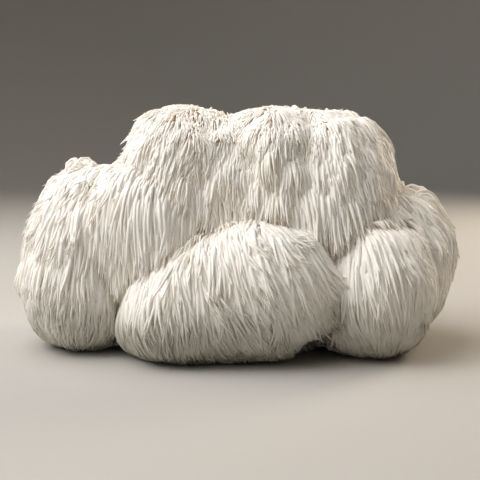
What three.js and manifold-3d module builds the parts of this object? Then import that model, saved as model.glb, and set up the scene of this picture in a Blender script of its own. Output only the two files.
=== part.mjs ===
// A lion's mane mushroom, picked whole: one fleshy fruiting body of several lobes that grew into each
// other, each lobe covered with a coat of hanging spines. This solid is the outside of that coat, so the
// tips of the spines end on it. Millimetres, +Z up, front towards -Y, origin under the middle of the
// cluster, on the surface that it rests on.
import * as THREE from "three";
import { mergeVertices } from "three/addons/utils/BufferGeometryUtils.js";
import Module from "manifold-3d";

const wasm = await Module();
wasm.setup();

// ---- Driving dimensions, in millimetres ----

// How far the middles of the outer lobes stand from the axis of the cut stem.
const SIDE_REACH = 74;
const FRONT_REACH = 30;
const BACK_REACH = 38;

// How high the middles of the lobes stand above the resting surface.
const CROWN_HEIGHT = 79;
const SHOULDER_HEIGHT = 54;
const SKIRT_HEIGHT = 28;

// The cut stem, where the knife parted the cluster from its log. It stands between the lobes.
const STEM_RADIUS = 26;
const STEM_FLARE = 8; // how much wider the stem is where it meets the flesh
const STEM_SINK = 8; // how far the stem runs up past the middles of the skirt

// How far the resting lobes would reach below the surface, if it didn't press the tips of their coat flat.
const PRESS = 4;

// A lobe's outline lies between an ellipse (2) and a box (large): the hanging coat makes its sides steep.
const COAT_SQUARENESS = 2.5;

// Broad locks of the coat, as a share of the lobe's radius, and how many stand round one lobe.
const LOCK_DEPTH = 0.02;
const LOCKS_ROUND = 7;
const LOCK_TURN = 1.7; // radians from one lobe's first lock to the next lobe's
const LOCK_TWIST = 1.5; // radians that a lock winds round the lobe over half its height

// The mesh of one lobe.
const ROUND_STEPS = 26;
const RISE_STEPS = 16;

// Half the height of a lobe whose middle stands at this height, and whose coat rests on the surface.
const resting = (height) => height + PRESS;

// Each lobe: the middle of its mass, half its width, depth and height, and how far it leans (degrees) to its
// right (+) or left (-). Every middle lies in the heart or in a neighbour, so no lobe can stand apart.
const LOBES = {
  heart: {
    at: [0, 0, SHOULDER_HEIGHT],
    half: [SIDE_REACH, (FRONT_REACH + BACK_REACH) / 2, SHOULDER_HEIGHT - STEM_SINK],
    lean: 0,
  },
  crown_left: { at: [-26, 2, CROWN_HEIGHT], half: [30, 40, 39], lean: -5 },
  crown_saddle: { at: [-2, 0, CROWN_HEIGHT - 8], half: [30, 37, 41], lean: 0 },
  crown_middle: { at: [20, 0, CROWN_HEIGHT], half: [28, 40, 39], lean: 0 },
  crown_right: { at: [46, 4, CROWN_HEIGHT - 6], half: [32, 42, 43], lean: 6 },
  shoulder_left: { at: [-38, -9, SHOULDER_HEIGHT + 2], half: [40, 39, 41], lean: -4 },
  shoulder_right: { at: [38, -8, SHOULDER_HEIGHT + 2], half: [48, 38, 41], lean: 3 },
  left: { at: [-SIDE_REACH + 3, -3, SHOULDER_HEIGHT - 9], half: [32, 38, 44], lean: 4 },
  left_skirt: {
    at: [-SIDE_REACH, -8, SKIRT_HEIGHT + 2],
    half: [30, 38, resting(SKIRT_HEIGHT)],
    lean: 0,
  },
  right_rear: { at: [SIDE_REACH + 5, 4, SKIRT_HEIGHT + 13], half: [30, 38, 38], lean: 3 },
  right: {
    at: [SIDE_REACH - 9, -23, SKIRT_HEIGHT + 4],
    half: [30, 36, resting(SKIRT_HEIGHT + 4)],
    lean: 0,
  },
  front: {
    at: [11, -FRONT_REACH, SKIRT_HEIGHT + 4],
    half: [38, 36, resting(SKIRT_HEIGHT + 4)],
    lean: 0,
  },
  front_middle: {
    at: [-12, -FRONT_REACH, SKIRT_HEIGHT],
    half: [34, 36, resting(SKIRT_HEIGHT)],
    lean: 0,
  },
  front_left: {
    at: [-30, 1 - FRONT_REACH, SKIRT_HEIGHT - 5],
    half: [27, 35, resting(SKIRT_HEIGHT - 5)],
    lean: 0,
  },
  back_left: {
    at: [-38, BACK_REACH, SKIRT_HEIGHT + 16],
    half: [41, 34, resting(SKIRT_HEIGHT + 14)],
    lean: -4,
  },
  back_right: {
    at: [36, BACK_REACH, SKIRT_HEIGHT + 18],
    half: [43, 34, resting(SKIRT_HEIGHT + 16)],
    lean: 4,
  },
};

// ---- Geometry ----

// A closed mesh as a solid that can be joined and cut.
function solidOf(geometry) {
  const bare = geometry.clone();
  bare.deleteAttribute("normal");
  bare.deleteAttribute("uv");
  const merged = mergeVertices(bare, 1e-4);
  return new wasm.Manifold(
    new wasm.Mesh({
      numProp: 3,
      vertProperties: new Float32Array(merged.attributes.position.array),
      triVerts: new Uint32Array(merged.index.array),
    }),
  );
}

// The geometry of a joined or cut solid.
function geometryOf(solid) {
  const mesh = solid.getMesh();
  const points = new Float32Array(mesh.numVert * 3);
  for (let i = 0; i < mesh.numVert; i++) {
    points.set(mesh.vertProperties.subarray(i * mesh.numProp, i * mesh.numProp + 3), i * 3);
  }
  return new THREE.BufferGeometry()
    .setAttribute("position", new THREE.BufferAttribute(points, 3))
    .setIndex(new THREE.BufferAttribute(new Uint32Array(mesh.triVerts), 1));
}

// One lobe: a sphere drawn out to its three half sizes, with steep sides and broad locks that fade towards
// its crown. The turn, in radians, sets where its first lock stands.
function lobeGeometry({ at, half, lean }, turn) {
  const lobe = new THREE.SphereGeometry(1, ROUND_STEPS, RISE_STEPS).rotateX(Math.PI / 2);
  const places = lobe.attributes.position;
  const p = new THREE.Vector3();
  for (let i = 0; i < places.count; i++) {
    p.fromBufferAttribute(places, i);
    const across = Math.hypot(p.x, p.y);
    const around = across > 1e-6 ? Math.atan2(p.y, p.x) : 0;
    const square = (across ** COAT_SQUARENESS + Math.abs(p.z) ** COAT_SQUARENESS) ** (-1 / COAT_SQUARENESS);
    const lock = 1 + LOCK_DEPTH * across * Math.sin(LOCKS_ROUND * around + turn + LOCK_TWIST * p.z);
    p.multiplyScalar(square * lock).multiply(new THREE.Vector3(...half));
    places.setXYZ(i, p.x, p.y, p.z);
  }
  return lobe.rotateY(THREE.MathUtils.degToRad(lean)).translate(...at);
}

// The stem between the lobes, ending in the flat face that the knife left.
function stemGeometry() {
  const top = SKIRT_HEIGHT + STEM_SINK;
  const profile = [
    new THREE.Vector2(0, 0),
    new THREE.Vector2(STEM_RADIUS, 0),
    new THREE.Vector2(STEM_RADIUS + STEM_FLARE, top),
    new THREE.Vector2(0, top),
  ];
  return new THREE.LatheGeometry(profile, ROUND_STEPS).rotateX(Math.PI / 2);
}

// Everything under the resting surface, which the weight of the cluster presses flat.
function underSurface(box) {
  const size = box.getSize(new THREE.Vector3()).multiplyScalar(2);
  return new THREE.BoxGeometry(size.x, size.y, size.z).translate(0, 0, -size.z / 2);
}

const lobes = Object.values(LOBES).map((lobe, i) => solidOf(lobeGeometry(lobe, i * LOCK_TURN)));
const joined = lobes.reduce((body, lobe) => body.add(lobe), solidOf(stemGeometry()));
const outside = geometryOf(joined);
outside.computeBoundingBox();
const body = geometryOf(joined.subtract(solidOf(underSurface(outside.boundingBox))));

// The origin goes under the middle of the cluster.
body.computeBoundingBox();
const middle = body.boundingBox.getCenter(new THREE.Vector3());
body.translate(-middle.x, -middle.y, 0);

const mushroom = new THREE.Mesh(
  body,
  new THREE.MeshStandardMaterial({ color: 0xefe6d4, roughness: 0.62, metalness: 0 }),
);
mushroom.name = "mushroom";

const root = new THREE.Group();
root.add(mushroom);

export default root;
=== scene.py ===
# %% [markdown]
# # A lion's mane mushroom
#
# A lion's mane is a fungus with no cap. It is a lump of soft white flesh, swollen into lobes, and every
# lobe grows a coat of thin spines that hang down like icicles. This lesson builds one in the order in
# which it grew: first the lobes of flesh, then where each spine stands, then how each spine grows out
# and hangs. Blender's own hair could stand in for the spines. Here they are grown in code instead,
# because every spine has to feel the flesh under it at each step.
#
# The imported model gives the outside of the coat, so everything here is worked out from its box.

# %% Load the frame
import math

import bmesh
import bpy
import numpy as np
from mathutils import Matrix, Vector
from mathutils.kdtree import KDTree


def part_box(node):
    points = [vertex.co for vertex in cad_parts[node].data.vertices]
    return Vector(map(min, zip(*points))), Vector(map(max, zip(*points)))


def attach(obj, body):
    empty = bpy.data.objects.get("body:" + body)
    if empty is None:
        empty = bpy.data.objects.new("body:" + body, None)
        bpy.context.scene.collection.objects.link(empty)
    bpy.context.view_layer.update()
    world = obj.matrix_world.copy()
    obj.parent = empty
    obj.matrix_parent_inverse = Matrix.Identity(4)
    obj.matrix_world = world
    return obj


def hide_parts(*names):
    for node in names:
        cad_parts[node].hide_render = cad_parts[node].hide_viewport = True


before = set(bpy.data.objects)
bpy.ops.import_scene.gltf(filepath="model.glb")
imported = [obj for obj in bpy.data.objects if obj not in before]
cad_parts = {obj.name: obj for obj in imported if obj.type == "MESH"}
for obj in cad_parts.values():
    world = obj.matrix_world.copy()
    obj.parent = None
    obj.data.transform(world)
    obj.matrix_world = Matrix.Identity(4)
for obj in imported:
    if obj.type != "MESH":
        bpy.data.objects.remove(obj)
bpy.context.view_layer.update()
LOW, HIGH = (np.array(corner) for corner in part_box("mushroom"))
SIZE = HIGH - LOW
FLOOR = LOW[2]
MM = 0.001
print(len(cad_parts), "packed node, which measures, in mm:", np.round(SIZE / MM, 1))

# %% [markdown]
# ## The lobes
#
# Each lobe is a rounded block: an ellipsoid with its sides made steeper, because a hanging coat falls
# straight down from the widest place. A formula does that. With a power of 2 the outline is an ellipse,
# and as the power grows it nears a box. The lobes could be sculpted by hand, but a formula can also
# answer how far any point is from the flesh, which the spines need while they grow.
#
# The middle and the half sizes of a lobe are shares of the whole cluster's box, so the lobes follow the
# frame. The other values say how it leans and how its coat lies:
#
# - `lean` tips the lobe to one side, in degrees.
# - `comb` is the way that its spines lean, across and in depth, and `swing` turns them further out
#   towards the lobe's ends.
# - `length` is the usual length of its spines in millimetres, and `unrest` is how unruly they are.

# %% A lobe
SQUARENESS = 2.5
COAT = 7.5 * MM         # from the flesh to the outside of a hanging coat
SHORT_COAT = 4.0 * MM   # and of the short coat on the crown


class Lobe:
    """One swelling of the flesh."""

    def __init__(self, name, middle, half, lean=0, comb=(0, 0), swing=0.0, length=30, unrest=1.0):
        self.name = name
        self.middle = np.array([0, 0, FLOOR]) + np.array(middle) * SIZE
        self.half = np.array(half) * SIZE
        angle = math.radians(lean)
        cosine, sine = math.cos(angle), math.sin(angle)
        self.turn = np.array([[cosine, 0, -sine], [0, 1, 0], [sine, 0, cosine]])
        self.comb = np.array([*comb, 0.0])
        self.swing = swing
        self.unrest = unrest
        self.length = length * MM
        self.coat = SHORT_COAT if name.startswith("crown") else COAT


print("the coat is", round(COAT / MM, 1), "mm deep, and", round(SHORT_COAT / MM, 1), "on the crown")

# %% All the lobes
LOBES = [
    Lobe("heart", (-0.012, -0.022, 0.457), (0.346, 0.245, 0.389), length=34, unrest=0.5),
    Lobe("crown_left", (-0.134, -0.007, 0.668), (0.140, 0.289, 0.330),
         lean=-5, comb=(-0.3, -0.15), length=12, unrest=0.6),
    Lobe("crown_saddle", (-0.022, -0.022, 0.600), (0.140, 0.270, 0.345),
         comb=(0, -0.14), length=12, unrest=0.6),
    Lobe("crown_middle", (0.081, -0.022, 0.668), (0.131, 0.289, 0.330),
         comb=(0, -0.14), length=13, unrest=0.6),
    Lobe("crown_right", (0.202, 0.007, 0.617), (0.149, 0.303, 0.364),
         lean=6, comb=(0.3, -0.12), length=18, unrest=0.6),
    Lobe("shoulder_left", (-0.190, -0.086, 0.474), (0.187, 0.282, 0.347),
         lean=-4, comb=(0, -0.15), length=38, unrest=0.45),
    Lobe("shoulder_right", (0.165, -0.079, 0.474), (0.224, 0.274, 0.347),
         lean=3, comb=(0.1, -0.15), length=38, unrest=0.45),
    Lobe("left", (-0.344, -0.043, 0.381), (0.149, 0.274, 0.372),
         lean=4, comb=(-0.15, -0.05), length=30, unrest=0.6),
    Lobe("left_skirt", (-0.358, -0.079, 0.254), (0.140, 0.274, 0.271),
         comb=(-0.1, 0), length=22, unrest=0.6),
    Lobe("right_rear", (0.357, 0.007, 0.347), (0.140, 0.274, 0.321),
         lean=3, comb=(0.4, 0), length=34, unrest=0.9),
    Lobe("right", (0.290, -0.188, 0.271), (0.140, 0.260, 0.304),
         comb=(0.3, -0.2), swing=0.3, length=36, unrest=0.7),
    Lobe("front", (0.045, -0.238, 0.276), (0.182, 0.260, 0.310),
         comb=(0.6, -0.2), swing=0.4, length=40, unrest=0.9),
    Lobe("front_middle", (-0.069, -0.238, 0.237), (0.159, 0.260, 0.271),
         comb=(0.35, -0.2), swing=0.3, length=38, unrest=0.8),
    Lobe("front_left", (-0.153, -0.231, 0.195), (0.126, 0.253, 0.228),
         comb=(0, -0.15), swing=0.2, length=32, unrest=0.7),
    Lobe("back_left", (-0.190, 0.253, 0.372), (0.192, 0.245, 0.389),
         lean=-4, comb=(-0.1, 0.15), length=36, unrest=0.8),
    Lobe("back_right", (0.156, 0.253, 0.389), (0.201, 0.245, 0.406),
         lean=4, comb=(0.1, 0.15), length=36, unrest=0.8),
]
HEART = LOBES[0].middle
print(len(LOBES), "lobes")

# %% [markdown]
# ## Tiers of lobes
#
# The coat of one tier runs on without a break from lobe to lobe, and hangs over the next tier. So the
# lobes are grouped, and each group later gets its own coat of spines.

# %% Groups
GROUPS = {
    "crown": ("crown_left", "crown_saddle", "crown_middle", "crown_right"),
    "shoulder": ("shoulder_left", "shoulder_right", "heart"),
    "left": ("left", "left_skirt"),
    "right_rear": ("right_rear",),
    "right": ("right",),
    "front": ("front", "front_middle", "front_left"),
    "back": ("back_left", "back_right"),
}
IN_GROUP = np.array([[lobe.name in members for lobe in LOBES] for members in GROUPS.values()])
CROWN = IN_GROUP[0]
print(len(GROUPS), "groups of lobes")

# %% [markdown]
# ## The field
#
# `field` answers three questions about a point: how far it stands outside the flesh, which way is out,
# and how much each lobe has to say there. Neighbouring lobes blend over a few millimetres, as grown flesh
# does. A few waves with random directions make the flesh a little lumpy.

# %% Distance from one lobe
def superellipse(across, up):
    """1 on the outline of a lobe of half size 1, less inside it and more outside it."""
    return (across**SQUARENESS + np.abs(up)**SQUARENESS) ** (1 / SQUARENESS)


def lobe_distance(points, lobe):
    """How far each point is outside one lobe, in metres, and less than 0 inside it."""
    local = (points - lobe.middle) @ lobe.turn.T
    scaled = local / (lobe.half - lobe.coat)
    reach = superellipse(np.hypot(scaled[:, 0], scaled[:, 1]), scaled[:, 2])
    reach = np.maximum(reach, 1e-6)
    return np.linalg.norm(local, axis=1) * (1 - 1 / reach)


print("heart's middle is", np.round(lobe_distance(HEART[None] + 1e-6, LOBES[0]) / MM), "mm from its skin")

# %% Lumps
LUMPS = 14
SMALLEST_LUMP, LARGEST_LUMP = 11, 20    # in mm, from one crest to the next
LUMPINESS = np.where(CROWN, 1.0, 0.5) * MM

chance = np.random.default_rng(7)
lump_way = chance.normal(size=(LUMPS, 3))
lump_size = chance.uniform(SMALLEST_LUMP, LARGEST_LUMP, (LUMPS, 1)) * MM
lump_way *= 2 * math.pi / lump_size / np.linalg.norm(lump_way, axis=1, keepdims=True)
lump_start = chance.uniform(0, 2 * math.pi, LUMPS)


def lumps(points):
    """How much the flesh swells or sinks at each point, from about -1 to 1."""
    return np.sin(points @ lump_way.T + lump_start).sum(axis=1) / math.sqrt(LUMPS)


print("lumps of", SMALLEST_LUMP, "to", LARGEST_LUMP, "mm")

# %% Field
BLEND = 3.0 * MM        # how softly two lobes of flesh meet
SLOPE_STEP = 0.3 * MM


def unit(vectors):
    """The same directions with a length of 1."""
    return vectors / np.maximum(np.linalg.norm(vectors, axis=1, keepdims=True), 1e-12)


def shares_and_distance(points):
    """Each lobe's share of the say at each point, and the blended distance from the flesh."""
    apart = np.stack([lobe_distance(points, lobe) for lobe in LOBES], axis=1)
    nearest = apart.min(axis=1, keepdims=True)
    say = np.exp(-(apart - nearest) / BLEND)
    total = say.sum(axis=1, keepdims=True)
    share = say / total
    return share, (nearest - BLEND * np.log(total))[:, 0] - share @ LUMPINESS * lumps(points)


def field(points):
    """The distance from the flesh and the way out of it, which is the distance's slope."""
    distance = shares_and_distance(points)[1]
    slope = np.zeros_like(points)
    for axis in range(3):
        moved = points.copy()
        moved[:, axis] += SLOPE_STEP
        slope[:, axis] = shares_and_distance(moved)[1] - distance
    return distance, unit(slope)


print("the way out above the crown is", np.round(field(HEART[None] + [0, 0, SIZE[2]])[1][0], 2))

# %% [markdown]
# ## The ground and the notch
#
# The mushroom rests on its underside. Near the right end of the large front lobe the coat doesn't quite
# reach the ground, and leaves a small dark arch. A function for the lowest height at each place serves the
# flesh and the spines alike.

# %% Ground
CLEARANCE = 0.5 * MM
ARCH_MIDDLE = HEART + np.array([0.165, -0.24, 0]) * SIZE
ARCH_HALF_WIDTH = 7 * MM
ARCH_HEIGHT = 12 * MM


def ground(points):
    """The lowest height for each point: the surface, or higher in the arch."""
    aside = np.clip((points[:, 0] - ARCH_MIDDLE[0]) / ARCH_HALF_WIDTH, -1, 1)
    front = points[:, 1] < ARCH_MIDDLE[1]
    return FLOOR + CLEARANCE + front * ARCH_HEIGHT * np.sqrt(1 - aside**2)


print("the arch stands", round(ARCH_MIDDLE[0] / MM), "mm right of the middle")

# %% [markdown]
# ## The flesh
#
# The flesh is one closed mesh. The lobes are drawn as separate balls, and a voxel remesh then melts them
# into one skin, much as the growing lobes ran together. A boolean union would leave sharp creases with
# long thin faces. The skin is then moved onto the field's zero, so that the mesh and the formula agree to a
# fraction of a millimetre.

# %% Balls melted into one skin
VOXEL = 1.8 * MM


def lobe_ball(mesh, lobe):
    """Adds one lobe to a bmesh as a ball drawn out to its shape."""
    ball = bmesh.ops.create_icosphere(mesh, subdivisions=4, radius=1)["verts"]
    sphere = np.array([v.co for v in ball])
    reach = superellipse(np.hypot(sphere[:, 0], sphere[:, 1]), sphere[:, 2])
    local = sphere / reach[:, None] * (lobe.half - lobe.coat)
    for vertex, place in zip(ball, local @ lobe.turn + lobe.middle):
        vertex.co = place


def flesh_object():
    """All the lobes melted into one skin."""
    mesh = bmesh.new()
    for lobe in LOBES:
        lobe_ball(mesh, lobe)
    data = bpy.data.meshes.new("flesh")
    mesh.to_mesh(data)
    mesh.free()
    made = bpy.data.objects.new("flesh", data)
    bpy.context.collection.objects.link(made)
    remesh = made.modifiers.new("melt", "REMESH")
    remesh.mode = "VOXEL"
    remesh.voxel_size = VOXEL
    melted = made.evaluated_get(bpy.context.evaluated_depsgraph_get())
    skin = bpy.data.meshes.new_from_object(melted)
    made.modifiers.clear()
    made.data = skin
    return made


flesh = flesh_object()
print("flesh:", len(flesh.data.vertices), "points")

# %% The skin on the field's zero
UNDERSIDE = 6.5 * MM    # from the surface to the lowest flesh, with the tips of the spines between them
SETTLING = 3            # rounds of moving the skin, each of which leaves less to do


def vertices_of(data):
    """The place of every corner of a mesh."""
    places = np.empty(len(data.vertices) * 3)
    data.vertices.foreach_get("co", places)
    return places.reshape(-1, 3)


skin = vertices_of(flesh.data)
for _ in range(SETTLING):
    distance, out = field(skin)
    skin -= out * distance[:, None]
skin[:, 2] = np.maximum(skin[:, 2], ground(skin) + UNDERSIDE)
flesh.data.vertices.foreach_set("co", skin.ravel())
flesh.data.update()
print("the skin was off by at most", round(np.abs(distance).max() / MM, 2), "mm before the last round")

# %% [markdown]
# ## Where the spines stand
#
# Spines crowd the flesh about as closely as their own thickness allows, but never in rows, and closest on
# the crown, where they are short and thin. Points are thrown at random over the skin, and one is kept
# only where no kept point is nearer than the spacing. A grid would be quicker, but it would show.

# %% Throwing points
THROWS = 210000


def throw_points(data, count):
    """Random points over a mesh, as many to each square millimetre everywhere."""
    data.calc_loop_triangles()
    corners = np.empty(len(data.loop_triangles) * 3, dtype=np.int32)
    data.loop_triangles.foreach_get("vertices", corners)
    a, b, c = vertices_of(data)[corners.reshape(-1, 3)].transpose(1, 0, 2)
    area = np.linalg.norm(np.cross(b - a, c - a), axis=1) / 2
    print("flesh area, in square cm:", round(area.sum() * 1e4, 1))
    pick = chance.choice(len(area), size=count, p=area / area.sum())
    u = np.sqrt(chance.random((count, 1)))
    v = chance.random((count, 1))
    return (1 - u) * a[pick] + u * (1 - v) * b[pick] + u * v * c[pick]


thrown = throw_points(flesh.data, THROWS)
on_crown = CROWN[shares_and_distance(thrown)[0].argmax(axis=1)]
print(int(on_crown.sum()), "of them on the crown")

# %% Thinning them out
SPACING = 1.25 * MM
CROWN_SPACING = 0.88 * MM
NEAR_CELLS = [(i, j, k) for i in (-2, -1, 0, 1, 2) for j in (-2, -1, 0, 1, 2) for k in (-2, -1, 0, 1, 2)]


def thin_out(points, spacing):
    """Keeps points in turn, each only if no kept one is nearer than the spacing."""
    cell = spacing / math.sqrt(3)   # so small that a cell can hold only one kept point
    keys = np.floor(points / cell).astype(int)
    taken, kept = {}, []
    for index, (x, y, z) in enumerate(keys.tolist()):
        place = points[index]
        near = (taken.get((x + i, y + j, z + k)) for i, j, k in NEAR_CELLS)
        if any(n is not None and ((points[n] - place) ** 2).sum() < spacing**2 for n in near):
            continue
        taken[x, y, z] = index
        kept.append(index)
    return points[kept]


crown_roots = thin_out(thrown[on_crown], CROWN_SPACING)
roots = np.concatenate([crown_roots, thin_out(thrown[~on_crown], SPACING)])
print(len(roots), "roots")

# %% Room for the stem
STEM = HEART[:2]
STEM_RADIUS = 26 * MM
STEM_GAP = 2 * MM

from_stem = np.linalg.norm(roots[:, :2] - STEM, axis=1)
roots = roots[(from_stem > STEM_RADIUS + STEM_GAP) | (roots[:, 2] > FLOOR + 2 * UNDERSIDE)]
count = len(roots)
print(count, "spines, with none on the cut stem")

# %% [markdown]
# ## How the coat is combed
#
# On a real cluster the coat isn't even. It leans away from the middle of each lobe, neighbouring spines
# wander the same way, and damp ones hang together in locks. Each of these becomes one value for every
# root: `comb` from the lobes, `wander` and `bend` from slow and quick waves with some chance in them, and
# `leader`, the spine in the middle of the lock. A comb drawn by hand over a sculpted coat would do as much,
# but it would have to be drawn again whenever a lobe moved.

# %% Combing
LOBE_END = 1.2      # how far out along a lobe its swing still grows, beside its half size

out = field(roots)[1]
share = shares_and_distance(roots)[0]
crown = share[:, CROWN].sum(axis=1)
owner = IN_GROUP[:, share.argmax(axis=1)].argmax(axis=0)


def combing(points, share):
    """The way that the coat leans at each point: each lobe's comb, swung further towards its ends."""
    lean = share @ np.stack([lobe.comb for lobe in LOBES])
    for lobe, part in zip(LOBES, share.T):
        beside = np.clip((points[:, 0] - lobe.middle[0]) / lobe.half[0], -LOBE_END, LOBE_END)
        lean[:, 0] += part * lobe.swing * beside
    return lean


comb = combing(roots, share)
print("the coat leans sideways by", round(comb[:, 0].min(), 2), "to", round(comb[:, 0].max(), 2))

# %% Locks
LOCK_SPACING = 5.0 * MM


def gather(points, spacing):
    """The spine in the middle of each spine's lock."""
    middles = thin_out(points, spacing)
    numbers = KDTree(len(middles))
    for i, place in enumerate(middles):
        numbers.insert(place, i)
    numbers.balance()
    belongs = np.array([numbers.find(place)[1] for place in points])
    apart = np.linalg.norm(points - middles[belongs], axis=1)
    leader = np.empty(len(middles), dtype=int)
    farthest_first = np.argsort(-apart)
    leader[belongs[farthest_first]] = farthest_first    # the nearest spine is written last, and stays
    return leader[belongs]


leader = gather(roots, LOCK_SPACING)
print(len(np.unique(leader)), "locks")

# %% Wandering
SWIRL = 30 * MM     # the size of the slow changes of direction
RIPPLE = 9 * MM     # and of the quick ones
WAVES = 12
SWIRLING, RIPPLING = 0.5, 0.35          # how strongly a whole patch of spines wanders
TUFTED, CROWN_TUFTED = 0.15, 0.08       # how strongly one lock does, and how much more on the crown
ALONE, CROWN_ALONE = 0.12, 0.13         # and one spine by itself
BENT_TOGETHER, BENT_ALONE = 0.45, 0.28  # how strongly the outer half of a spine bends off its way


def drift(points, size):
    """A smooth random vector at each point, which neighbours nearly share."""
    total = np.zeros_like(points)
    for _ in range(WAVES):
        way = unit(chance.normal(size=(1, 3)))[0] * 2 * math.pi / size
        total += np.sin(points @ way + chance.uniform(0, 2 * math.pi))[:, None] * chance.normal(size=3)
    return total / math.sqrt(WAVES)


tuft = chance.normal(size=(count, 3))[leader]
wander = SWIRLING * drift(roots, SWIRL) + RIPPLING * drift(roots, RIPPLE)
wander += chance.normal(size=(count, 3)) * (ALONE + CROWN_ALONE * crown)[:, None]
wander += tuft * (TUFTED + CROWN_TUFTED * crown)[:, None]
bend = BENT_TOGETHER * drift(roots, RIPPLE) + chance.normal(size=(count, 3)) * BENT_ALONE
unrest = (share @ [lobe.unrest for lobe in LOBES])[:, None]
wander *= unrest
bend *= unrest
print("usual wander:", round(np.linalg.norm(wander, axis=1).mean(), 2))

# %% [markdown]
# ## How long each spine is, and how high it lies
#
# A spine can't be much longer than its root is high, because real ones stop growing near the ground. Those
# from the top of a lobe hang over those from its side, so they come to lie further from the flesh.

# %% Lengths
SHORTEST = 4 * MM
LEAST_FALL = 2 * MM
SLACK = 1.15                    # how much longer than its fall a spine may be
SHORT_ONE, LONG_ONE = 0.72, 1.15    # a single spine beside its lobe's usual length
CROWN_UNLIKE = 0.12             # how unlike each other in length the locks of the crown are

fall = np.maximum(roots[:, 2] - ground(roots), LEAST_FALL)
length = share @ [lobe.length for lobe in LOBES] * chance.uniform(SHORT_ONE, LONG_ONE, count)
length *= 1 + CROWN_UNLIKE * chance.normal(size=count)[leader] * crown
length = np.clip(length, SHORTEST, fall * SLACK + LEAST_FALL)
print("usual length, in mm:", round(length.mean() / MM, 1))

# %% Depths in the coat
ROOM = 1.2 * MM                 # for a spine's own thickness inside the coat
TOP_FACE = 0.7                  # a root counts as on top of its lobe once its way out points up this much
SIDE_LAYER, TOP_LAYER, ANY_LAYER = 0.30, 0.55, 0.15     # shares of the coat's depth

over = np.clip(out[:, 2] / TOP_FACE, 0, 1)
coat_depth = share @ [lobe.coat for lobe in LOBES]
depth = (SIDE_LAYER + TOP_LAYER * over + ANY_LAYER * chance.random(count)) * (coat_depth - ROOM)
print("the coat is", round(depth.min() / MM, 1), "to", round(depth.max() / MM, 1), "mm deep")

# %% [markdown]
# ## How a spine grows
#
# A spine leaves the flesh at a right angle, then its own weight bends it over until it hangs. It can't
# pass through the flesh, so it slides down over the curve of the lobe, on top of the spines that stand
# below it. A physics simulation could do this, but it would be slow for so many spines. Instead all of
# them grow together, one short step at a time: each step turns them a little towards the ground, lifts
# them off the flesh where they would sink into it, and draws them back where they would stray.

# %% Growing
STEPS = 9                           # short straight stretches in one spine
START_DEPTH = 0.8 * MM              # how deep in the flesh a spine starts
PARTING = np.array([0.5, 5, 0])     # how much more the comb lays the roots over, mostly forwards or back
STRAY = 4 * MM                      # how far off its place in the coat a spine may stand
LIFT, DRAW_BACK = 0.7, 0.6          # how much of a wrong distance each step mends
ROOT_WANDER, ROOT_LIFT = 0.4, 0.1   # how a spine's first heading differs from straight out
DROOP, MORE_DROOP = 0.30, 0.25      # how far a step turns towards the pull, and how much further at the tip
ROOT_COMB, TIP_COMB = 0.4, 0.6      # how much the comb pulls, and how much more at the tip
STEP_WANDER = 0.3
CURL_FROM = 0.55                    # where along a spine its tip may start to curl up
SETTLES = 2.2                       # a spine has its place in the coat at 1 over this share of its length

stiff = 1 - 0.15 * crown
flick = chance.exponential(6.0, count) * np.maximum(over * (1 - 0.5 * crown), 0.5 * crown)
print("tips curl up by", round(flick.mean(), 1), "on average")

# %% The growing itself


def grow(length):
    """The path of every spine: its points from root to tip, one row of points for each spine."""
    step = (length / STEPS)[:, None]
    heading = unit(out + wander * ROOT_WANDER + comb * PARTING + np.array([0, 0, ROOT_LIFT]))
    place = roots - out * START_DEPTH
    path = [place]
    away = out
    for s in range(1, STEPS + 1):
        along = s / STEPS
        weight = ((DROOP + MORE_DROOP * along) * stiff)[:, None]
        curl = (flick * max(0, along - CURL_FROM) ** 2)[:, None]
        pull = np.array([0, 0, -1.0]) + comb * (ROOT_COMB + TIP_COMB * along) + away * curl
        pull += wander * STEP_WANDER * (1 - along) + bend * along
        heading = unit(heading * (1 - weight) + unit(pull) * weight)
        moved = place + heading * step
        apart, away = field(moved)
        wanted = depth * min(1, along * SETTLES)
        moved += away * np.maximum(wanted - apart, 0)[:, None] * LIFT
        moved -= away * np.maximum(apart - wanted - STRAY, 0)[:, None] * DRAW_BACK
        heading = unit(moved - place)
        place = place + heading * step
        place[:, 2] = np.maximum(place[:, 2], ground(place))
        path.append(place)
    return np.stack(path, axis=1)


paths = grow(length)
print("longest spine, in mm:", round(length.max() / MM, 1))

# %% [markdown]
# ## Fringes
#
# A coat ends in a fringe. Where a spine hangs past its own tier and over the next, the next tier grows too
# close under it, so it stays short: its tip stops just past the crease. This needs a second growing,
# because only the first one shows where each spine would reach.

# %% Fringes
OVERHANG = 5 * MM
AT_HOME = 0.4       # a spine has left its tier once that tier has a smaller share than this
SHORT_TIP, LONG_TIP = 0.3, 1.7      # how far a tip hangs over, beside the usual overhang


def past_tier(paths):
    """The share of its length at which each spine leaves its own tier, or 1 where it stays."""
    leave = np.ones(count)
    for s in range(STEPS, 1, -1):
        own = (shares_and_distance(paths[:, s])[0] * IN_GROUP[owner]).sum(axis=1)
        leave = np.where(own < AT_HOME, s / STEPS, leave)
    return leave


leave = past_tier(paths)
limit = leave * length + OVERHANG * chance.uniform(SHORT_TIP, LONG_TIP, count)
length = np.where(leave < 1, np.minimum(length, limit), length)
paths = grow(length)
print(int((leave < 1).sum()), "spines end in a fringe")

# %% [markdown]
# ## Locks that cling
#
# Damp spines cling together at their tips, so the coat parts into locks. Every spine leans towards the
# middle spine of its lock, more and more towards its tip, and less on the crown, where spines are short.

# %% Clinging
CLING = 0.5
FOLLOW = 0.6        # how much nearer to its leader a spine's tip comes
CROWN_LOOSE = 0.7   # how much less the crown clings
TIPWARDS = 1.6      # the power with which the clinging grows towards the tip

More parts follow.
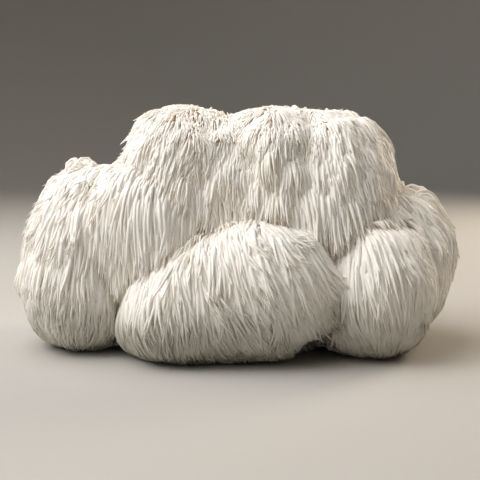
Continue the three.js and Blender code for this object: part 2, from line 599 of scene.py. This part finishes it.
along = (np.arange(STEPS + 1) / STEPS)[None, :, None]
offset = paths[leader][:, :1] - paths[:, :1]
reach_ratio = np.clip(length / length[leader], 0, 1)[:, None, None]
gathered = paths[:, :1] + (paths[leader] - paths[leader][:, :1]) * reach_ratio + offset * FOLLOW * along
cling = CLING * (1 - CROWN_LOOSE * crown)[:, None, None] * along**TIPWARDS
cling = cling * chance.uniform(0.5, 1.0, (count, 1, 1))
paths = paths * (1 - cling) + gathered * cling
lowest = ground(paths.reshape(-1, 3)).reshape(paths.shape[:2])
paths[:, :, 2] = np.maximum(paths[:, :, 2], lowest)
print("a tip moved at most", round(cling.max(), 2), "of the way to its lock")

# %% [markdown]
# ## Spines as meshes
#
# Each path becomes a thin tapering tube that ends in a point. Nine rings of five corners are enough: the
# spines are so thin that smooth shading rounds them. Curves with a bevel would be simpler to write, but a
# mesh can also hold each point's place along its spine, which the colour needs.

# %% Rings round a path
SIDES = 5
ANY_WAY = np.array([0.3, 0.8, 0.52])    # the first ring is turned by this, which hardly any spine follows
THINNING = 0.22                 # how much thinner a spine gets over its length, apart from its point
POINT_FROM = 0.45               # where along it the point begins
POINT_ROUND, POINT_BLUNT = 1.7, 0.8


def taper(along):
    """A spine's half thickness beside that at its root: full for half its length, then to a point."""
    point = np.clip((along - POINT_FROM) / (1 - POINT_FROM), 0, 1)
    return (1 - THINNING * along) * (1 - point**POINT_ROUND) ** POINT_BLUNT


def rings(path, radius):
    """Rings of corners round each path, turned as little as possible from one ring to the next."""
    tangent = unit(np.gradient(path, axis=1).reshape(-1, 3)).reshape(path.shape)
    side = np.cross(tangent[:, 0], ANY_WAY)
    corners = []
    turn = np.arange(SIDES) * 2 * math.pi / SIDES
    for s in range(path.shape[1] - 1):
        side = side - (side * tangent[:, s]).sum(axis=1, keepdims=True) * tangent[:, s]
        side = unit(side)
        other = np.cross(tangent[:, s], side)
        ring = side[:, None] * np.cos(turn)[None, :, None] + other[:, None] * np.sin(turn)[None, :, None]
        corners.append(path[:, s, None] + ring * radius[:, s, None, None])
    return np.stack(corners, axis=1)


print("half way along, a spine keeps", round(float(taper(np.array(0.5))), 2), "of its thickness")

# %% The faces of one spine
def spine_faces(stops):
    """The corners of every face of one spine, all in one row, and how many corners each face has."""
    s, k = np.meshgrid(np.arange(stops - 1), np.arange(SIDES), indexing="ij")
    low, beside = s * SIDES + k, s * SIDES + (k + 1) % SIDES
    walls = np.stack([low, beside, beside + SIDES, low + SIDES], axis=-1).reshape(-1, 4)
    k = np.arange(SIDES)
    last = (stops - 1) * SIDES
    point = np.full(SIDES, stops * SIDES)
    tip = np.stack([last + k, last + (k + 1) % SIDES, point], axis=-1)
    foot = k[::-1]
    corners = np.concatenate([walls.ravel(), tip.ravel(), foot])
    sizes = np.concatenate([np.full(len(walls), 4), np.full(SIDES, 3), [SIDES]])
    return corners, sizes


print(len(spine_faces(STEPS)[1]), "faces in a spine")

# %% A coat of spines
# Nearer its root than this, a spine is painted a warmer, darker cream: painted shade for the light that
# reaches deep in the coat only after many bounces.
ROOT_SHADE_REACH = 30 * MM      # how far from its root a spine has its full ivory colour


def coat_object(name, path, radius, length, tone):
    """One mesh of many spines, with each point's place along its spine and each spine's own tone."""
    spines, stops = path.shape[0], path.shape[1] - 1
    per = stops * SIDES + 1
    points = np.concatenate([rings(path, radius).reshape(spines, -1, 3), path[:, -1:]], axis=1)
    corners, sizes = spine_faces(stops)
    corners = (corners[None] + (np.arange(spines) * per)[:, None]).ravel()
    sizes = np.tile(sizes, spines)
    data = bpy.data.meshes.new(name)
    data.vertices.add(spines * per)
    data.vertices.foreach_set("co", points.ravel())
    data.loops.add(len(corners))
    data.loops.foreach_set("vertex_index", corners)
    data.polygons.add(len(sizes))
    data.polygons.foreach_set("loop_start", np.concatenate([[0], np.cumsum(sizes)[:-1]]))
    data.polygons.foreach_set("loop_total", sizes)
    data.polygons.foreach_set("use_smooth", np.ones(len(sizes), dtype=bool))
    data.update(calc_edges=True)
    # Each point's place along its spine, which sets the painted shade near the root.
    reach = np.concatenate([np.repeat(np.arange(stops) / stops, SIDES), [1.0]])
    grown = np.minimum((reach[None] * length[:, None] / ROOT_SHADE_REACH).ravel(), 1)
    data.attributes.new("along", "FLOAT", "POINT").data.foreach_set("value", grown)
    data.attributes.new("tone", "FLOAT", "POINT").data.foreach_set("value", np.repeat(tone, per))
    if data.validate(verbose=True):
        print(name, "was mended")
    return bpy.data.objects.new(name, data)


print("a spine is fully ivory", round(ROOT_SHADE_REACH / MM), "mm from its root")

# %% All the coats
THICK = 1.05 * MM   # half the thickness of a long spine at its root
MOST = 2200         # spines in one piece, so that no piece is too heavy to pass on
THIN_ONE, THICK_ONE = 0.85, 1.12    # a single spine beside others of its length
THINNEST, FULLEST = 0.55, 1.05      # the shortest and the longest spines beside THICK
STUB, FULL_LENGTH = 0.42, 52 * MM   # between them, thickness grows with length from a stub's

thick = THICK * chance.uniform(THIN_ONE, THICK_ONE, count)
thick = thick * np.clip(STUB + length / FULL_LENGTH, THINNEST, FULLEST)
radius = taper(np.arange(STEPS + 1) / STEPS)[None] * thick[:, None]
tone = chance.random(count)
coats = []
for number, group in enumerate(GROUPS):
    mine = np.flatnonzero(owner == number)
    parts = math.ceil(len(mine) / MOST)
    left_to_right = mine[np.argsort(roots[mine, 0])]
    for i, some in enumerate(np.array_split(left_to_right, parts)):
        coat = coat_object(f"{group}_spines_{i + 1}", paths[some], radius[some], length[some], tone[some])
        bpy.context.collection.objects.link(coat)
        coats.append(coat)
        print(coat.name, len(some))

# %% [markdown]
# ## The cut stem
#
# The cluster was cut from its log, which left one flat, pale face between the lobes. It is a shallow drum,
# its edge a little uneven, and its upper end is lost in the flesh. A profile turned round the middle makes
# it, as on a lathe, and a few slow waves keep it from being a true circle.

# %% Stem profile
STEM_HEIGHT = 13 * MM
STEM_ROUNDS = 72
STEM_CLEARANCE = 0.3 * MM
WOBBLE = 0.018      # how uneven the edge is, as a share of the radius
# Each ring's share of the radius and of the height, from the middle of the cut face out and up.
STEM_RINGS = [(0.35, 0.02), (0.7, 0.03), (0.93, 0.0), (1.0, 0.08), (1.06, 0.45), (1.16, 1.0)]
CUT_MIDDLE, TOP_MIDDLE = 0.03, 1.0

wobble = [chance.normal(size=2) * WOBBLE / (k + 1) for k in range(6)]


def stem_height(share):
    """The height of a share of the stem."""
    return FLOOR + STEM_CLEARANCE + STEM_HEIGHT * share


def uneven(angle):
    """The stem's reach at an angle, beside that of a true circle."""
    return 1 + sum(a * math.cos((k + 2) * angle) + b * math.sin((k + 2) * angle)
                   for k, (a, b) in enumerate(wobble))


print("the cut face is", 2 * STEM_RADIUS / MM, "mm across")

# %% Stem mesh
def stem_mesh():
    """The drum of the stem, closed at both ends."""
    mesh = bmesh.new()
    turned = []
    for out_share, up_share in STEM_RINGS:
        ring = []
        for i in range(STEM_ROUNDS):
            angle = 2 * math.pi * i / STEM_ROUNDS
            reach = STEM_RADIUS * out_share * uneven(angle)
            place = (STEM[0] + reach * math.cos(angle), STEM[1] + reach * math.sin(angle))
            ring.append(mesh.verts.new((*place, stem_height(up_share))))
        turned.append(ring)
    following = [(i + 1) % STEM_ROUNDS for i in range(STEM_ROUNDS)]
    for low, high in zip(turned, turned[1:]):
        for i, k in enumerate(following):
            mesh.faces.new((low[i], low[k], high[k], high[i]))
    cut = mesh.verts.new((*STEM, stem_height(CUT_MIDDLE)))
    top = mesh.verts.new((*STEM, stem_height(TOP_MIDDLE)))
    for i, k in enumerate(following):
        mesh.faces.new((cut, turned[0][k], turned[0][i]))
        mesh.faces.new((top, turned[-1][i], turned[-1][k]))
    data = bpy.data.meshes.new("cut_stem")
    mesh.to_mesh(data)
    mesh.free()
    return data


stem = bpy.data.objects.new("cut_stem", stem_mesh())
bpy.context.collection.objects.link(stem)
print("stem:", len(stem.data.vertices), "points")

# %% [markdown]
# ## The finish of living flesh
#
# Fresh flesh is ivory and a little waxy, and never quite even: it is mottled, and has a fine grain.
# Close to the ground the colour darkens in blotches towards a dull olive. In the crease beside the large
# front lobe the spines darken in the same way, and there the darkening is painted shade. A picture could be
# painted for all this, but noise in the space round the object fits thousands of spines with no unwrapping.
# All the materials need it, so it is one node group, and each material gives it its own amounts.

# %% Node helpers
def maths(tree, operation, *values):
    """A Math node's result. Each value is a number or the output of another node."""
    node = tree.nodes.new("ShaderNodeMath")
    node.operation = operation
    for socket, value in zip(node.inputs, values):
        if isinstance(value, (int, float)):
            socket.default_value = value
        else:
            tree.links.new(value, socket)
    return node.outputs[0]


def noise(tree, place, scale, detail):
    """Noise from 0 to 1. The scale is in swells to the metre."""
    node = tree.nodes.new("ShaderNodeTexNoise")
    node.inputs["Scale"].default_value = scale
    node.inputs["Detail"].default_value = detail
    tree.links.new(place, node.inputs["Vector"])
    return node.outputs["Fac"]


def fade(tree, value, start, end):
    """1 where the value is below start, 0 where it is above end, and smooth between them."""
    node = tree.nodes.new("ShaderNodeMapRange")
    node.interpolation_type = "SMOOTHSTEP"
    node.inputs["From Min"].default_value = start
    node.inputs["From Max"].default_value = end
    node.inputs["To Min"].default_value = 1
    node.inputs["To Max"].default_value = 0
    tree.links.new(value, node.inputs["Value"])
    return node.outputs["Result"]


def in_value(tree, colour, value):
    """A colour made darker or paler by a factor."""
    node = tree.nodes.new("ShaderNodeHueSaturation")
    tree.links.new(colour, node.inputs["Color"])
    tree.links.new(value, node.inputs["Value"])
    return node.outputs["Color"]


def distance_from(tree, place, middle):
    """How far each place is from a fixed point."""
    node = tree.nodes.new("ShaderNodeVectorMath")
    node.operation = "DISTANCE"
    node.inputs[1].default_value = middle
    tree.links.new(place, node.inputs[0])
    return node.outputs["Value"]


print("helpers for maths, noise, fades, shades and distances")

# %% Living flesh
PATCH_SCALE, GRAIN_SCALE = 110, 1400
DARKEST, PALEST = 0.94, 1.03    # how dark or pale a single spine may be, at a tone of 0 and of 1
# A dull olive that the colour darkens to near the ground, fully below the first height and not at all above
# the second. The same colour darkens the crease, as painted shade.
DARKENED_COLOUR = (0.30, 0.29, 0.20, 1)
DARKEST_BELOW, UNDARKENED_ABOVE = FLOOR + 2 * MM, FLOOR + 34 * MM
# Painted shade in the crease beside the large front lobe: its middle, how far out it is full, and where it
# ends.
CREASE_SHADE = HEART + np.array([0.205, -0.36, -0.28]) * SIZE
CREASE_SHADE_CORE, CREASE_SHADE_EDGE = 5 * MM, 15 * MM


def flesh_group():
    """Gives a colour its tone, mottles it, darkens it near the ground and paints shade into the crease.
    Also gives relief.
    """
    tree = bpy.data.node_groups.new("living_flesh", "ShaderNodeTree")
    for name, kind in (("Colour", "Color"), ("Tone", "Float"), ("Mottle", "Float"), ("Darkening", "Float")):
        tree.interface.new_socket(name, in_out="INPUT", socket_type="NodeSocket" + kind)
    for name, kind in (("Colour", "Color"), ("Height", "Float")):
        tree.interface.new_socket(name, in_out="OUTPUT", socket_type="NodeSocket" + kind)
    given, made = tree.nodes.new("NodeGroupInput"), tree.nodes.new("NodeGroupOutput")
    place = tree.nodes.new("ShaderNodeTexCoord").outputs["Object"]

    spread = tree.nodes.new("ShaderNodeMapRange")
    spread.inputs["To Min"].default_value = DARKEST
    spread.inputs["To Max"].default_value = PALEST
    tree.links.new(given.outputs["Tone"], spread.inputs["Value"])
    toned = in_value(tree, given.outputs["Colour"], spread.outputs["Result"])

    patches = maths(tree, "SUBTRACT", noise(tree, place, PATCH_SCALE, 2), 0.5)
    grain = noise(tree, place, GRAIN_SCALE, 1)
    uneven = maths(tree, "ADD", patches, maths(tree, "MULTIPLY", grain, 0.4))
    change = maths(tree, "MULTIPLY", uneven, given.outputs["Mottle"])
    mottled = in_value(tree, toned, maths(tree, "ADD", change, 1))

    split = tree.nodes.new("ShaderNodeSeparateXYZ")
    tree.links.new(place, split.inputs[0])
    # Darker near the ground, and painted shade in the crease beside the large front lobe, both in blotches.
    low = fade(tree, split.outputs["Z"], DARKEST_BELOW, UNDARKENED_ABOVE)
    crease_shade = fade(tree, distance_from(tree, place, CREASE_SHADE), CREASE_SHADE_CORE, CREASE_SHADE_EDGE)
    blotchy = maths(tree, "ADD", maths(tree, "MULTIPLY", patches, 1.6), 1)
    darkening_mask = maths(tree, "MULTIPLY", maths(tree, "MAXIMUM", low, crease_shade), blotchy)
    darkening = tree.nodes.new("ShaderNodeMix")
    darkening.data_type = "RGBA"
    tree.links.new(maths(tree, "MULTIPLY", darkening_mask, given.outputs["Darkening"]), darkening.inputs["Factor"])
    plain_colour, darkened_colour = [socket for socket in darkening.inputs if socket.type == "RGBA"]
    tree.links.new(mottled, plain_colour)
    darkened_colour.default_value = DARKENED_COLOUR
    mixed = [socket for socket in darkening.outputs if socket.type == "RGBA"][0]
    tree.links.new(mixed, made.inputs["Colour"])
    tree.links.new(maths(tree, "ADD", patches, grain), made.inputs["Height"])
    return tree


living_flesh = flesh_group()
print("group:", living_flesh.name, len(living_flesh.nodes), "nodes")

# %% [markdown]
# ## Materials
#
# Three materials share the group. A spine is painted a darker, warm cream where it leaves the lobe, as
# painted
# shade: light reaches there only after many bounces from warm flesh. Further out it is paler ivory. No two
# spines have quite the same tone. The flesh under them is like the roots. The cut face of the stem is a
# deeper cream, with a coarser grain and none of the darkening near the ground.
#
# Subsurface scattering would be the usual choice for flesh. Among so many overlapping tubes it gives dark
# blotches, so a pale colour does the work: light bounces from spine to spine and fills the coat.

# %% Materials
SHEEN_OF_WAX = 0.3
BUMP_STRENGTH = 0.5


def flesh_material(name, colour, mottle, darkening, roughness, relief):
    """A material of the mushroom, in one colour. The relief is the height of its grain."""
    material = bpy.data.materials.new(name)
    material.use_nodes = True
    tree = material.node_tree
    shader = tree.nodes["Principled BSDF"]
    group = tree.nodes.new("ShaderNodeGroup")
    group.name = "living_flesh"
    group.node_tree = living_flesh
    group.inputs["Colour"].default_value = (*colour, 1)
    group.inputs["Tone"].default_value = 0
    group.inputs["Mottle"].default_value = mottle
    # How strongly the colour darkens near the ground and takes the painted shade of the crease.
    group.inputs["Darkening"].default_value = darkening
    tree.links.new(group.outputs["Colour"], shader.inputs["Base Color"])
    bump = tree.nodes.new("ShaderNodeBump")
    bump.inputs["Strength"].default_value = BUMP_STRENGTH
    bump.inputs["Distance"].default_value = relief
    tree.links.new(group.outputs["Height"], bump.inputs["Height"])
    tree.links.new(bump.outputs["Normal"], shader.inputs["Normal"])
    shader.inputs["Roughness"].default_value = roughness
    shader.inputs["Specular IOR Level"].default_value = SHEEN_OF_WAX
    return material


# The spines and lobes darken near the ground and take the painted crease shade; the cut face does not.
spine_flesh = flesh_material("spine_flesh", (0.985, 0.965, 0.92),
                             mottle=0.10, darkening=0.60, roughness=0.5, relief=0.12 * MM)
lobe_flesh = flesh_material("lobe_flesh", (0.96, 0.90, 0.81),
                            mottle=0.16, darkening=0.6, roughness=0.6, relief=0.4 * MM)
cut_flesh = flesh_material("cut_flesh", (0.93, 0.86, 0.72),
                           mottle=0.22, darkening=0.0, roughness=0.7, relief=0.5 * MM)
print("materials:", [material.name for material in (spine_flesh, lobe_flesh, cut_flesh)])

# %% A colour that runs along each spine
# The root end of this ramp is painted shade, a warm cream darker than the ivory further out.
ROOT_TO_TIP = [
    (0.0, (0.955, 0.885, 0.77)),
    (0.06, (0.97, 0.925, 0.85)),
    (0.2, (0.98, 0.955, 0.905)),
    (1.0, (0.985, 0.965, 0.92)),
]


def attribute(tree, name):
    """The value that every point of a coat holds under a name."""
    node = tree.nodes.new("ShaderNodeAttribute")
    node.attribute_name = name
    return node.outputs["Fac"]


tree = spine_flesh.node_tree
ramp = tree.nodes.new("ShaderNodeValToRGB")
for element, (position, colour) in zip(ramp.color_ramp.elements, (ROOT_TO_TIP[0], ROOT_TO_TIP[-1])):
    element.position = position
    element.color = (*colour, 1)
for position, colour in ROOT_TO_TIP[1:-1]:
    ramp.color_ramp.elements.new(position).color = (*colour, 1)
tree.links.new(attribute(tree, "along"), ramp.inputs["Fac"])
tree.links.new(ramp.outputs["Color"], tree.nodes["living_flesh"].inputs["Colour"])
tree.links.new(attribute(tree, "tone"), tree.nodes["living_flesh"].inputs["Tone"])
print(len(ramp.color_ramp.elements), "colours from a spine's root to its tip")

# %% The finish on the pieces
for coat in coats:
    coat.data.materials.append(spine_flesh)
flesh.data.materials.append(lobe_flesh)
stem.data.materials.append(cut_flesh)
for polygon in flesh.data.polygons:
    polygon.use_smooth = True
print(len(coats), "coats have the spines' finish")

# %% [markdown]
# ## Handing the pieces over
#
# The real mushroom is one piece with nothing that moves. So every piece made here rides on the root, and
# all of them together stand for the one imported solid, which stays behind for collisions.

# %% Hand over
for piece in [flesh, stem, *coats]:
    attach(piece, "root")
    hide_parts("mushroom")
print(len(coats) + 2, "pieces stand for the packed mushroom")

# %% [markdown]
# ## The camera
#
# The mushroom is seen from the front and from just above the table, so that the tiers read one over the
# other. A fairly long lens from half a metre away keeps the near lobe from looking swollen.

# %% Camera
TARGET = Vector((0, 0, FLOOR + 50.4 * MM))
DISTANCE = 470 * MM
RISE = math.radians(6.5)

camera_data = bpy.data.cameras.new("camera")
camera_data.lens = 70
camera_data.clip_start = 0.01
camera = bpy.data.objects.new("camera", camera_data)
bpy.context.collection.objects.link(camera)
back = Vector((0, -math.cos(RISE), math.sin(RISE)))
camera.location = TARGET + back * DISTANCE
camera.rotation_euler = back.to_track_quat("Z", "Y").to_euler()
bpy.context.scene.camera = camera
print("the camera stands", round(DISTANCE / MM), "mm away")

# %% [markdown]
# ## The floor
#
# Plain pale paper. It is a bowl, flat in the middle and curved up into a wall all round, so that no edge
# shows from any side. It is no part of the mushroom.

# %% Floor
FLAT = 1.3          # the radius of the flat middle, in metres
CURVE = 0.7         # the radius of the curve up into the wall
WALL = 2.6          # the height of the wall
PAPER = (0.50, 0.485, 0.46, 1)
BOWL_ROUNDS, CURVE_STEPS, FLAT_STEPS = 96, 12, 4


def bowl_profile():
    """The distance from the middle and the height of each ring of the bowl."""
    profile = [(FLAT * i / FLAT_STEPS, 0.0) for i in range(1, FLAT_STEPS + 1)]
    for i in range(1, CURVE_STEPS + 1):
        angle = math.radians(90 * i / CURVE_STEPS)
        profile.append((FLAT + CURVE * math.sin(angle), CURVE - CURVE * math.cos(angle)))
    return [*profile, (FLAT + CURVE, WALL)]


def floor_bowl():
    """The bowl as one smooth mesh."""
    profile = bowl_profile()
    points = [(0, 0, FLOOR)]
    for out_by, up_by in profile:
        for i in range(BOWL_ROUNDS):
            angle = 2 * math.pi * i / BOWL_ROUNDS
            points.append((out_by * math.cos(angle), out_by * math.sin(angle), FLOOR + up_by))
    faces = [(0, 1 + i, 1 + (i + 1) % BOWL_ROUNDS) for i in range(BOWL_ROUNDS)]
    for ring in range(len(profile) - 1):
        low, high = 1 + ring * BOWL_ROUNDS, 1 + (ring + 1) * BOWL_ROUNDS
        for i in range(BOWL_ROUNDS):
            k = (i + 1) % BOWL_ROUNDS
            faces.append((low + i, high + i, high + k, low + k))
    data = bpy.data.meshes.new("floor")
    data.from_pydata(points, [], faces)
    for polygon in data.polygons:
        polygon.use_smooth = True
    return bpy.data.objects.new("floor", data)


floor = floor_bowl()
bpy.context.collection.objects.link(floor)
paper = bpy.data.materials.new("floor_paper")
paper.use_nodes = True
paper_shader = paper.node_tree.nodes["Principled BSDF"]
paper_shader.inputs["Base Color"].default_value = PAPER
paper_shader.inputs["Roughness"].default_value = 0.9
floor.data.materials.append(paper)
print("the floor is", 2 * FLAT, "m across before it curves up")

# %% [markdown]
# ## The light
#
# Soft light from above and from the left rounds the lobes and lets the right side and the undersides fall
# into shade. A warm lamp from behind on the right draws a thin bright edge, as through a translucent coat.
# A little light from all round fills the shadows. White colours are kept as they are, with no film-like
# curve, which would turn pale ivory grey. Light may bounce many times, because a pale coat needs it.

# %% Light
BOUNCES = 32
AIM = Vector((0, 0, 50 * MM))


def lamp(name, place, size, power, colour):
    """A rectangular lamp that points at the mushroom. The place is in metres and the power in watts."""
    data = bpy.data.lights.new(name, "AREA")
    data.shape = "RECTANGLE"
    data.size, data.size_y = size
    data.energy = power
    data.color = colour
    light = bpy.data.objects.new(name, data)
    bpy.context.collection.objects.link(light)
    light.location = place
    light.rotation_euler = (Vector(place) - AIM).to_track_quat("Z", "Y").to_euler()


lamp("key", (-0.5, -0.12, 0.55), (0.45, 0.45), 1.2, (1.0, 0.98, 0.95))
lamp("top", (-0.42, 0.05, 0.85), (1.0, 1.0), 8.8, (1.0, 0.97, 0.94))
lamp("left_top", (-0.65, -0.45, 0.8), (0.8, 0.8), 2.2, (1.0, 0.97, 0.94))
lamp("left_fill", (-0.8, -0.35, 0.35), (0.7, 0.7), 1.1, (1.0, 0.97, 0.93))
lamp("rim", (0.7, 0.55, 0.45), (0.3, 0.5), 6, (1.0, 0.84, 0.66))
world = bpy.data.worlds.new("studio")
world.use_nodes = True
world_light = world.node_tree.nodes["Background"]
world_light.inputs["Color"].default_value = (1.0, 0.96, 0.92, 1)
world_light.inputs["Strength"].default_value = 0.09
scene = bpy.context.scene
scene.world = world
scene.view_settings.view_transform = "Standard"
scene.cycles.max_bounces = BOUNCES
scene.cycles.diffuse_bounces = BOUNCES
print("lamps:", [light.name for light in bpy.data.lights])
